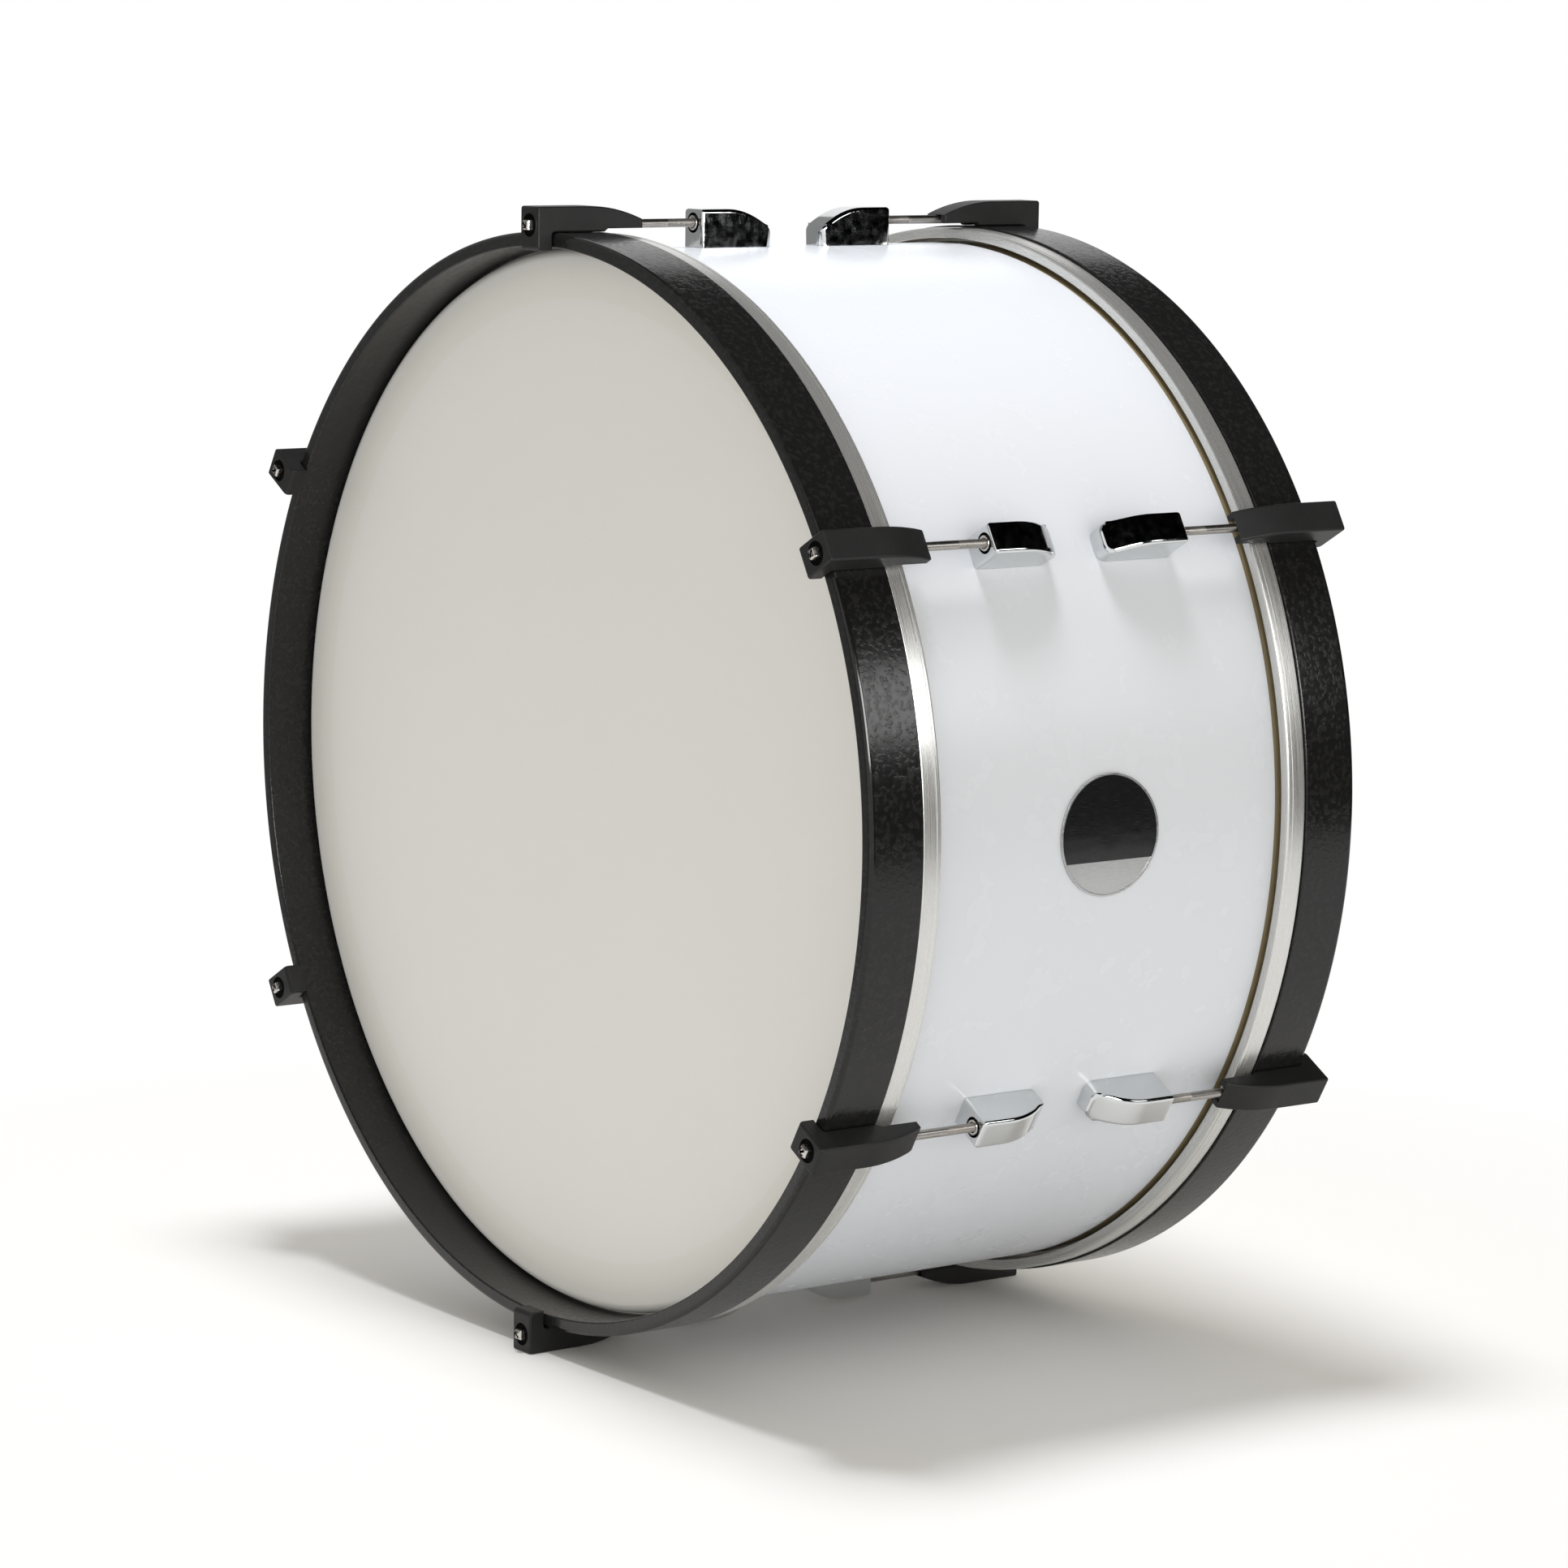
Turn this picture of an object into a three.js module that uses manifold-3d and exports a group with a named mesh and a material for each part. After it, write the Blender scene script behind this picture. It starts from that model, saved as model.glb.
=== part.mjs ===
// Marching bass drum, 26 inches across and 12 inches deep, standing upright on its two lowest claws.
// Millimetres. The drum's axis runs along Y, the front head faces -Y and +Z is up.
// The origin lies on the ground, midway between the two heads.

import * as THREE from 'three';
import { mergeVertices } from 'three/addons/utils/BufferGeometryUtils.js';
import Module from 'manifold-3d';

// Faces of the round pieces. The flats of the large rings are centred on the clock positions.
const ringSides = 60;
const badgeSides = 24;
const ventSides = 16;
const recessSides = 12;
const rodSides = 10;
const cornerSteps = 2;

// Fits
const seatGap = 0.3;
const turningGap = 0.3;
const cutOverrun = 1;

// Shell: bent maple plies with a rounded bearing edge, covered with a plastic wrap
const shellDepth = 304.8;
const shellRadius = 330.2;
const shellWall = 7.1;
const edgeRound = 4.6;
const wrapThickness = 0.6;
const bareWoodWidth = 2;

// Head: a flat film with a turned collar, cast into an aluminium flesh hoop
const filmThickness = 0.3;
const collarFlare = 1.1;
const collarDepth = 8.3;
const fleshClearance = 3.2;
const fleshDepth = 13.7;
const fleshSection = 7.2;
const fleshWall = 1.2;
const fleshInnerWallDrop = 2.1;
const fleshFloorDepth = 7.3;

// Counter hoop: bent wood ring that presses the flesh hoop over the bearing edge
const hoopClearance = 0.8;
const hoopThickness = 9.3;
const hoopWidth = 38.1;
const hoopOuterRound = 3;
const hoopInnerEase = 1;

// Claw: cast hook with a recess for the rod's head and an open underside
const clawLength = 77.3;
const clawCrown = 4.7;
const clawFrontWall = 10.9;
const clawLipReach = 10.8;
const clawLipRound = 3;
const clawTopRound = 1.6;
const clawEdgeBevel = 1.3;
const clawInnerEase = 1.5;
const clawFlatLength = 38.3;
const clawTailWall = 0.95;
const clawTailRound = 2;
const clawTailLift = 2.2;
const clawTailStep = 2.5;
const clawRim = 3.1;
const clawSideWall = 4.3;
const clawTopWall = 3;
const clawHollowDrop = 4;

// Tension rod: square head on a round flange, plain shank, thread at the tip
const rodRadius = 2.75;
const rodEngagement = 17.5;
const rodTipBevel = 1;
const rodHeadSquare = 6.3;
const rodHeadHeight = 7;
const rodFlangeRadius = 5;
const rodFlangeThickness = 1.8;
const rodHoopClearance = 1.85;
const headRecessDepth = 5.5;
const headRecessClearance = 1.7;

// Lug: cast wedge on the shell, with a pocket for the swivel nut
const lugMidGap = 18.5;
const lugLength = 54.5;
const lugSideWall = 4.9;
const lugCrown = 3.5;
const lugLowHeight = 10.4;
const lugFlatLength = 21;
const lugTopRound = 1.6;
const lugEdgeBevel = 2.4;
const lugLowEndRound = 6;
const lugPocketSpare = 7.8;

// Swivel nut: threaded sleeve that turns freely in the lug's pocket
const nutWall = 1.75;
const nutLength = 20;
const nutProud = 0.8;

// Badge plate and air vent, at mid depth on opposite sides of the shell
const badgeRadius = 36.8;
const badgeThickness = 0.9;
const badgeRimWidth = 1.6;
const badgeRimHeight = 0.5;
const ventBoreRadius = 5;
const ventWall = 1;
const ventFlangeRadius = 9.5;
const ventFlangeThickness = 0.9;

// Clock positions of the tension rods, as seen by someone who faces that head
const rodHours = [12, 2, 4, 6, 8, 10];

// Places along the drum's axis, from mid depth
const halfDepth = shellDepth / 2;
const filmPlane = halfDepth + seatGap + filmThickness;
const fleshTop = filmPlane - collarDepth;
const fleshBottom = fleshTop - fleshDepth;
const hoopBack = fleshTop + seatGap;
const hoopFront = hoopBack + hoopWidth;
const wrapEnd = fleshBottom - bareWoodWidth;
const rodSeat = hoopFront + seatGap + clawFrontWall - headRecessDepth + seatGap;
const lugHighFace = lugMidGap + lugLength;

// Radii of the nested rings
const wrapRadius = shellRadius + seatGap + wrapThickness;
const flareRadius = shellRadius + seatGap + collarFlare;
const fleshInner = shellRadius + fleshClearance;
const fleshRadius = fleshInner + fleshSection;
const hoopInner = flareRadius + filmThickness + hoopClearance;
const hoopRadius = hoopInner + hoopThickness;
const hoopFlat = middleOfFlat(hoopRadius);
const wrapFlat = middleOfFlat(wrapRadius);

// The rod and what is built round it
const rodStandOff = rodRadius + rodHoopClearance;
const rodAxisRadius = hoopFlat + rodStandOff;
const rodLength = rodSeat - lugHighFace + rodEngagement;
const nutRadius = rodRadius + turningGap + nutWall;
const recessRadius = rodFlangeRadius + headRecessClearance;
const clawHeight = rodStandOff + recessRadius + clawCrown;
const clawTailHeight = rodStandOff + rodRadius + turningGap + clawTailWall;
const clawWidth = 2 * (recessRadius + clawRim);
const lugPinHeight = rodAxisRadius - wrapFlat - seatGap;
const lugHighHeight = lugPinHeight + nutRadius + turningGap + lugCrown;
const lugWidth = 2 * (nutRadius + turningGap + lugSideWall);
const lugPocketDepth = nutLength - nutProud + lugPocketSpare;
const axisHeight = hoopFlat + clawHeight;

const black = { color: 0x1b1c1d, roughness: 0.45, metalness: 0 };
const materials = {
  wood: new THREE.MeshStandardMaterial({ color: 0x9c7148, roughness: 0.6, metalness: 0 }),
  wrap: new THREE.MeshStandardMaterial({ color: 0xeef0f2, roughness: 0.15, metalness: 0 }),
  film: new THREE.MeshStandardMaterial({ color: 0xd0ccc2, roughness: 0.6, metalness: 0 }),
  hoop: new THREE.MeshStandardMaterial(black),
  claw: new THREE.MeshStandardMaterial(black),
  aluminium: new THREE.MeshStandardMaterial({ color: 0xb9bec2, roughness: 0.35, metalness: 1 }),
  steel: new THREE.MeshStandardMaterial({ color: 0xa9abad, roughness: 0.25, metalness: 1 }),
  chrome: new THREE.MeshStandardMaterial({ color: 0xe4e6e8, roughness: 0.05, metalness: 1 }),
  brass: new THREE.MeshStandardMaterial({ color: 0xb89a55, roughness: 0.3, metalness: 1 }),
  badge: new THREE.MeshStandardMaterial({ color: 0x26272a, roughness: 0.3, metalness: 0.6 }),
};

const wasm = await Module();
wasm.setup();

// Distance from the axis to the middle of a flat on a ring of this corner radius
function middleOfFlat(cornerRadius) {
  return cornerRadius * Math.cos(Math.PI / ringSides);
}

// Corner radius of a many-sided hole whose flats clear a round pin
function cornerRadiusAround(pinRadius, sides) {
  return (pinRadius + turningGap) / Math.cos(Math.PI / sides);
}

function toSolid(geometry) {
  const bare = geometry.clone();
  bare.deleteAttribute('normal');
  bare.deleteAttribute('uv');
  const merged = mergeVertices(bare);
  const vertProperties = new Float32Array(merged.attributes.position.array);
  const triVerts = new Uint32Array(merged.index.array);
  return new wasm.Manifold(new wasm.Mesh({ numProp: 3, vertProperties, triVerts }));
}

function toGeometry(solid) {
  const mesh = solid.getMesh();
  const geometry = new THREE.BufferGeometry();
  geometry.setAttribute('position', new THREE.BufferAttribute(mesh.vertProperties, 3));
  geometry.setIndex(new THREE.BufferAttribute(mesh.triVerts, 1));
  geometry.computeVertexNormals();
  return geometry;
}

function point(radius, along) {
  return new THREE.Vector2(radius, along);
}

// Ring about Y, with a flat centred on every clock position
function ring(profile, sides = ringSides) {
  return new THREE.LatheGeometry([...profile, profile[0]], sides, Math.PI / sides, 2 * Math.PI);
}

// Solid of revolution about Y, whose profile starts and ends on the axis
function turned(profile, sides) {
  return new THREE.LatheGeometry(profile, sides, Math.PI / sides, 2 * Math.PI);
}

// Round bar along Y between two heights
function bar(radius, low, high, sides) {
  return turned([point(0, low), point(radius, low), point(radius, high), point(0, high)], sides);
}

// Quarter round between two walls, as profile points from the outer wall to the end face
function quarterRound(centreRadius, centreAlong, radius, steps) {
  const points = [];
  for (let i = 0; i <= steps; i += 1) {
    const angle = (i / steps) * (Math.PI / 2);
    points.push(point(centreRadius + radius * Math.cos(angle), centreAlong + radius * Math.sin(angle)));
  }
  return points;
}

// Outline in the radial and axial directions, given thickness across, centred, with bevelled rims
function slab(shape, width, bevel) {
  const geometry = new THREE.ExtrudeGeometry(shape, {
    depth: width - 2 * bevel,
    bevelEnabled: bevel > 0,
    bevelThickness: bevel,
    bevelSize: bevel,
    bevelOffset: -bevel,
    bevelSegments: 1,
    curveSegments: cornerSteps,
  });
  geometry.translate(0, 0, bevel - width / 2);
  return geometry;
}

function block(lowX, highX, lowY, highY, lowZ, highZ) {
  const geometry = new THREE.BoxGeometry(highX - lowX, highY - lowY, highZ - lowZ);
  geometry.translate((lowX + highX) / 2, (lowY + highY) / 2, (lowZ + highZ) / 2);
  return geometry;
}

// Hole for the air vent, through the shell and its wrap on the side away from the badge
function cutVentHole(wall) {
  const cutter = bar(ventBoreRadius + ventWall + seatGap, 0, wrapRadius + cutOverrun, ventSides);
  cutter.rotateZ(Math.PI / 2);
  return toGeometry(toSolid(wall).subtract(toSolid(cutter)));
}

// Angle about the drum's axis of a clock position, from X towards Z
function hourAngle(hour) {
  return Math.PI / 2 + (hour / 12) * 2 * Math.PI;
}

function shellGeometry() {
  const roundStart = halfDepth - edgeRound;
  const inner = shellRadius - shellWall;
  const counterCut = shellWall - edgeRound;
  const upper = quarterRound(shellRadius - edgeRound, roundStart, edgeRound, 2);
  const lower = upper.map((p) => point(p.x, -p.y)).reverse();
  const profile = [
    point(inner, counterCut - halfDepth),
    ...lower,
    ...upper,
    point(inner, halfDepth - counterCut),
  ];
  return cutVentHole(ring(profile));
}

function wrapGeometry() {
  const inner = shellRadius + seatGap;
  return cutVentHole(ring([
    point(inner, -wrapEnd),
    point(wrapRadius, -wrapEnd),
    point(wrapRadius, wrapEnd),
    point(inner, wrapEnd),
  ]));
}

// Film over the bearing edge, turned down the collar and into the flesh hoop's channel
function filmGeometry() {
  const apexRadius = shellRadius - edgeRound;
  const roundCentre = halfDepth - edgeRound;
  const innerTurn = quarterRound(apexRadius, roundCentre, edgeRound + seatGap, 2);
  const outerTurn = quarterRound(apexRadius, roundCentre, edgeRound + seatGap + filmThickness, 2);
  const lipTop = fleshTop - seatGap;
  const channelMiddle = fleshRadius - (fleshSection + filmThickness) / 2;
  const channelFoot = fleshTop - fleshFloorDepth + seatGap;
  const inside = [
    point(channelMiddle, channelFoot),
    point(channelMiddle, lipTop - filmThickness),
    point(flareRadius, lipTop - filmThickness),
    ...innerTurn,
  ];
  const outside = [
    ...outerTurn.reverse(),
    point(flareRadius + filmThickness, lipTop),
    point(channelMiddle + filmThickness, lipTop),
    point(channelMiddle + filmThickness, channelFoot),
  ];
  const half = [point(0, innerTurn[innerTurn.length - 1].y), ...inside.reverse()];
  return turned([...half, ...outside.reverse(), point(0, filmPlane)], ringSides);
}

// Aluminium channel, open towards the counter hoop, with a lower inner wall
function fleshHoopGeometry() {
  const floor = fleshTop - fleshFloorDepth;
  const innerTop = fleshTop - fleshInnerWallDrop;
  return ring([
    point(fleshInner, fleshBottom),
    point(fleshRadius, fleshBottom),
    point(fleshRadius, fleshTop),
    point(fleshRadius - fleshWall, fleshTop),
    point(fleshRadius - fleshWall, floor),
    point(fleshInner + fleshWall, floor),
    point(fleshInner + fleshWall, innerTop),
    point(fleshInner, innerTop),
  ]);
}

function counterHoopGeometry() {
  return ring([
    point(hoopInner, hoopBack),
    point(hoopRadius, hoopBack),
    ...quarterRound(hoopRadius - hoopOuterRound, hoopFront - hoopOuterRound, hoopOuterRound, 2),
    point(hoopInner + hoopInnerEase, hoopFront),
    point(hoopInner, hoopFront - hoopInnerEase),
  ]);
}

// Claw, from the front outer corner of the hoop: x away from the drum's axis, y out past the hoop
function clawOutline() {
  const front = seatGap + clawFrontWall;
  const lipEnd = -clawLipReach;
  const tailEnd = front - clawLength;
  const flatEnd = front - clawFlatLength;
  const hoopEnd = -hoopWidth;
  const shape = new THREE.Shape();
  shape.moveTo(lipEnd, seatGap);
  shape.lineTo(seatGap - clawInnerEase, seatGap);
  shape.lineTo(seatGap, seatGap - clawInnerEase);
  shape.lineTo(seatGap, hoopEnd);
  shape.lineTo(clawTailLift, hoopEnd - clawTailStep);
  shape.lineTo(clawTailLift, tailEnd);
  shape.lineTo(clawTailHeight - clawTailRound, tailEnd);
  shape.lineTo(clawTailHeight, tailEnd + clawTailRound);
  const slopeMiddle = (flatEnd + tailEnd) / 2;
  shape.quadraticCurveTo(clawHeight, slopeMiddle, clawHeight, flatEnd);
  shape.lineTo(clawHeight, front - clawTopRound);
  shape.lineTo(clawHeight - clawTopRound, front);
  shape.lineTo(lipEnd + clawLipRound, front);
  shape.absarc(lipEnd + clawLipRound, front - clawLipRound, clawLipRound, Math.PI / 2, Math.PI, false);
  return shape;
}

// Hollow under the claw, from the tail to the wall that carries the rod's head
function clawHollowOutline() {
  const front = seatGap + clawFrontWall;
  const tailEnd = front - clawLength;
  const hollowFront = -clawInnerEase;
  const overRod = rodStandOff + rodRadius + turningGap;
  const shape = new THREE.Shape();
  shape.moveTo(-cutOverrun, hollowFront);
  shape.lineTo(clawHeight - clawTopWall, hollowFront);
  shape.lineTo(clawHeight - clawTopWall, front - clawFlatLength);
  shape.lineTo(overRod, tailEnd + clawHollowDrop);
  shape.lineTo(overRod, tailEnd - cutOverrun);
  shape.lineTo(-cutOverrun, tailEnd - cutOverrun);
  return shape;
}

function clawGeometry() {
  const front = seatGap + clawFrontWall;
  const holeStart = -clawInnerEase - cutOverrun;
  const rodHole = bar(cornerRadiusAround(rodRadius, rodSides), holeStart, front + cutOverrun, rodSides);
  const recess = bar(recessRadius, front - headRecessDepth, front + cutOverrun, recessSides);
  rodHole.translate(rodStandOff, 0, 0);
  recess.translate(rodStandOff, 0, 0);
  const body = toSolid(slab(clawOutline(), clawWidth, clawEdgeBevel));
  const hollow = toSolid(slab(clawHollowOutline(), clawWidth - 2 * clawSideWall, 0));
  return toGeometry(body.subtract(hollow).subtract(toSolid(rodHole)).subtract(toSolid(recess)));
}

// Rod, from the seat under its flange: y runs out along the head
function rodGeometry() {
  const shaft = turned([
    point(0, -rodLength),
    point(rodRadius - rodTipBevel, -rodLength),
    point(rodRadius, rodTipBevel - rodLength),
    point(rodRadius, 0),
    point(rodFlangeRadius, 0),
    point(rodFlangeRadius, rodFlangeThickness),
    point(0, rodFlangeThickness),
  ], rodSides);
  const half = rodHeadSquare / 2;
  const headTop = rodFlangeThickness + rodHeadHeight;
  const head = block(-half, half, 0, headTop, -half, half);
  return toGeometry(toSolid(shaft).add(toSolid(head)));
}

// Lug, from the middle of the edge where its high face meets the shell: x away from the shell
function lugOutline() {
  const shape = new THREE.Shape();
  shape.moveTo(0, 0);
  shape.lineTo(lugHighHeight - lugTopRound, 0);
  shape.lineTo(lugHighHeight, -lugTopRound);
  shape.lineTo(lugHighHeight, -lugFlatLength);
  const slopeMiddle = -(lugFlatLength + lugLength) / 2;
  shape.quadraticCurveTo(lugHighHeight, slopeMiddle, lugLowHeight, lugTopRound - lugLength);
  shape.lineTo(lugLowHeight - lugTopRound, -lugLength);
  shape.lineTo(0, -lugLength);
  return shape;
}

function lugPlanOutline() {
  const half = lugWidth / 2;
  const arcCentre = lugLowEndRound - lugLength;
  const shape = new THREE.Shape();
  shape.moveTo(-half, cutOverrun);
  shape.lineTo(-half, arcCentre);
  shape.absarc(lugLowEndRound - half, arcCentre, lugLowEndRound, Math.PI, 1.5 * Math.PI, false);
  shape.absarc(half - lugLowEndRound, arcCentre, lugLowEndRound, 1.5 * Math.PI, 2 * Math.PI, false);
  shape.lineTo(half, cutOverrun);
  return shape;
}

function lugGeometry() {
  const side = toSolid(slab(lugOutline(), lugWidth, lugEdgeBevel));
  const planSlab = new THREE.ExtrudeGeometry(lugPlanOutline(), {
    depth: lugHighHeight + 2 * cutOverrun,
    bevelEnabled: false,
    curveSegments: cornerSteps,
  });
  planSlab.translate(0, 0, -cutOverrun);
  planSlab.rotateY(Math.PI / 2);
  const pocket = bar(nutRadius + turningGap, -lugPocketDepth, cutOverrun, rodSides);
  pocket.translate(lugPinHeight, 0, 0);
  return toGeometry(side.add(toSolid(lugFootGeometry())).intersect(toSolid(planSlab)).subtract(toSolid(pocket)));
}

// Straight-sided foot that closes the bevel where the lug meets the shell
function lugFootGeometry() {
  return block(0, 2 * lugEdgeBevel, -lugLength, 0, -lugWidth / 2, lugWidth / 2);
}

// Swivel nut, from its outer end face
function nutGeometry() {
  const bore = cornerRadiusAround(rodRadius, rodSides);
  return ring([
    point(bore, -nutLength),
    point(nutRadius, -nutLength),
    point(nutRadius, 0),
    point(bore, 0),
  ], rodSides);
}

// Round plate bent to the shell, with a raised rim
function badgeGeometry() {
  const seat = wrapRadius + seatGap;
  const face = seat + badgeThickness;
  const reach = badgeRadius + cutOverrun;
  const sheet = (outer) => toSolid(ring([
    point(seat, -reach),
    point(outer, -reach),
    point(outer, reach),
    point(seat, reach),
  ]));
  const disc = (radius) => {
    const cutter = bar(radius, 0, seat + badgeRadius, badgeSides);
    cutter.rotateZ(-Math.PI / 2);
    return toSolid(cutter);
  };
  const plate = sheet(face).intersect(disc(badgeRadius));
  const rim = sheet(face + badgeRimHeight).intersect(disc(badgeRadius));
  return toGeometry(plate.add(rim.subtract(disc(badgeRadius - badgeRimWidth))));
}

// Eyelet through the shell, flared on both sides
function ventGeometry() {
  const outside = wrapFlat + seatGap;
  const inside = middleOfFlat(shellRadius - shellWall) - seatGap;
  const sleeve = ventBoreRadius + ventWall;
  const vent = ring([
    point(ventBoreRadius, inside - ventFlangeThickness),
    point(ventFlangeRadius, inside - ventFlangeThickness),
    point(ventFlangeRadius, inside),
    point(sleeve, inside),
    point(sleeve, outside),
    point(ventFlangeRadius, outside),
    point(ventFlangeRadius, outside + ventFlangeThickness),
    point(ventBoreRadius, outside + ventFlangeThickness),
  ], ventSides);
  vent.rotateZ(Math.PI / 2);
  return vent;
}

function named(name, geometry, material) {
  const mesh = new THREE.Mesh(geometry, material);
  mesh.name = name;
  return mesh;
}

// Frame at one clock position: x points away from the drum's axis
function clockFrame(hour) {
  const frame = new THREE.Group();
  frame.rotation.y = -hourAngle(hour);
  return frame;
}

const shapes = {
  film: filmGeometry(),
  fleshHoop: fleshHoopGeometry(),
  counterHoop: counterHoopGeometry(),
  claw: clawGeometry(),
  rod: rodGeometry(),
  lug: lugGeometry(),
  nut: nutGeometry(),
};

// Everything at one end of the drum, built with that end along +Y
function drumEnd(name) {
  const end = new THREE.Group();
  end.add(named(`${name}_head_film`, shapes.film, materials.film));
  end.add(named(`${name}_flesh_hoop`, shapes.fleshHoop, materials.aluminium));
  end.add(named(`${name}_counter_hoop`, shapes.counterHoop, materials.hoop));
  for (const hour of rodHours) {
    const frame = clockFrame(hour);
    const claw = named(`${name}_claw_${hour}`, shapes.claw, materials.claw);
    claw.position.set(hoopFlat, hoopFront, 0);
    const rod = named(`${name}_rod_${hour}`, shapes.rod, materials.steel);
    rod.position.set(rodAxisRadius, rodSeat, 0);
    const lug = named(`${name}_lug_${hour}`, shapes.lug, materials.chrome);
    lug.position.set(wrapFlat + seatGap, lugHighFace, 0);
    const nut = named(`${name}_nut_${hour}`, shapes.nut, materials.steel);
    nut.position.set(rodAxisRadius, lugHighFace + nutProud, 0);
    frame.add(claw, rod, lug, nut);
    end.add(frame);
  }
  return end;
}

function buildDrum() {
  const drum = new THREE.Group();
  drum.add(named('shell', shellGeometry(), materials.wood));
  drum.add(named('shell_wrap', wrapGeometry(), materials.wrap));
  drum.add(named('badge', badgeGeometry(), materials.badge));
  drum.add(named('air_vent', ventGeometry(), materials.brass));
  const front = drumEnd('front');
  front.rotation.z = Math.PI;
  drum.add(front, drumEnd('rear'));
  drum.position.z = axisHeight;
  return drum;
}

export default buildDrum();
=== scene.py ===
"""Marching bass drum, in metres: axis along Y, front head towards -Y, the two lowest claws on z = 0."""
from math import cos, hypot, pi, radians, sin, tau

import bmesh
import bpy
from mathutils import Matrix, Vector


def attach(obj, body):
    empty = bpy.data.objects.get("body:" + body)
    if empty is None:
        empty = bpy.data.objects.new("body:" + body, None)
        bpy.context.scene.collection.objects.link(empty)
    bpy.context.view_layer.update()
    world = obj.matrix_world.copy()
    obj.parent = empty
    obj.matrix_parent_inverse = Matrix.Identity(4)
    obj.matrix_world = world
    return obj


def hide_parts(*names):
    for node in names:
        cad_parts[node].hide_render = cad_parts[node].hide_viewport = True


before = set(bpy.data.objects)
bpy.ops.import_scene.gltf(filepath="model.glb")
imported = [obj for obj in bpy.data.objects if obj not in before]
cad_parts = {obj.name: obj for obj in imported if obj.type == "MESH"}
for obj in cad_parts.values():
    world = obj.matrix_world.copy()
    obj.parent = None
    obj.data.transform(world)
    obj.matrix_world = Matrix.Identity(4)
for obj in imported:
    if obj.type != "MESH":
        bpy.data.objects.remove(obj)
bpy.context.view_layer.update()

# Camera
# The photograph shows the front head and the right side, through a long lens from a little above the axis.
# The view was solved from the outlines of the hoops, the heads and the claws.
AXIS_HEIGHT = 0.35753
view_azimuth = radians(54.08)
view_elevation = radians(8.37)
view_roll = radians(0.82)
view_distance = 3.3588
aim = Vector((0.00280, 0.00094, AXIS_HEIGHT - 0.01164))

towards_camera = Vector((
    sin(view_azimuth) * cos(view_elevation),
    -cos(view_azimuth) * cos(view_elevation),
    sin(view_elevation),
))
level_right = Vector((cos(view_azimuth), sin(view_azimuth), 0))
level_up = towards_camera.cross(level_right)
picture_right = cos(view_roll) * level_right + sin(view_roll) * level_up
picture_up = cos(view_roll) * level_up - sin(view_roll) * level_right
camera_data = bpy.data.cameras.new("camera")
camera_data.lens = 120.68
camera_data.sensor_width = 36
camera = bpy.data.objects.new("camera", camera_data)
bpy.context.collection.objects.link(camera)
camera.matrix_world = Matrix.Translation(aim + towards_camera * view_distance) @ Matrix((
    picture_right, picture_up, towards_camera,
)).transposed().to_4x4()
bpy.context.scene.camera = camera
bpy.context.scene.view_settings.view_transform = "Standard"


# Studio
# A white sweep with even light from all round and one soft lamp overhead. Seen only in gloss: a dark ceiling,
# dark walls to the right and behind, a dim wall facing the front head, and two bright panels to the right.
zenith_light = 0.48
horizon_gain = 2.05
horizon_power = 3.0
floor_size = 60
floor_fade_start = 0.5
floor_fade_end = 0.9


def add_node(owner, kind, settings=None, **values):
    """New node in a finish or the world; a value is a number, a colour or the output that feeds it"""
    tree = owner.node_tree
    node = tree.nodes.new(kind)
    for name, setting in (settings or {}).items():
        setattr(node, name, setting)
    for name, value in values.items():
        socket = node.inputs[int(name[1:])] if name[1:].isdigit() else node.inputs[name.replace("_", " ")]
        if isinstance(value, bpy.types.NodeSocket):
            tree.links.new(value, socket)
        else:
            socket.default_value = value
    return node


def calculate(owner, operation, first, second=0.0, third=0.0):
    """Arithmetic on two or three numbers"""
    node = add_node(owner, "ShaderNodeMath", {"operation": operation}, _0=first, _1=second, _2=third)
    return node.outputs[0]


def mix_colours(owner, share, first, second):
    """First colour where the share is 0, second where it is 1"""
    node = add_node(owner, "ShaderNodeMix", {"data_type": "RGBA"}, _0=share, _6=first, _7=second)
    return node.outputs[2]


def spread(owner, value, low, high, new_low, new_high):
    """Stretches a value's range onto another"""
    node = add_node(owner, "ShaderNodeMapRange", _0=value, _1=low, _2=high, _3=new_low, _4=new_high)
    return node.outputs[0]


def own_place(owner):
    """The point's place on the drum, or the direction in the sky"""
    return add_node(owner, "ShaderNodeTexCoord").outputs["Object"]


def seen_directly(owner):
    """1 for what the camera sees itself, in gloss or through glass, 0 for light that lands on the drum"""
    path = add_node(owner, "ShaderNodeLightPath")
    mirrored = calculate(owner, "MAXIMUM", path.outputs["Is Glossy Ray"], path.outputs["Is Transmission Ray"])
    return calculate(owner, "MAXIMUM", path.outputs["Is Camera Ray"], mirrored)


def feed(owner, socket, value, node="Principled BSDF"):
    """Leads a node's output to the shader, or to another node of that name"""
    tree = owner.node_tree
    tree.links.new(value, tree.nodes[node].inputs[socket])


def new_finish(name, colour, roughness, metallic=0.0, **constants):
    """Principled material; constants are the sockets that stay the same all over"""
    finish = bpy.data.materials.new(name)
    finish.use_nodes = True
    shader = finish.node_tree.nodes["Principled BSDF"]
    shader.inputs["Base Color"].default_value = (*colour, 1)
    shader.inputs["Roughness"].default_value = roughness
    shader.inputs["Metallic"].default_value = metallic
    for socket, value in constants.items():
        shader.inputs[socket.replace("_", " ")].default_value = value
    return finish


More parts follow.
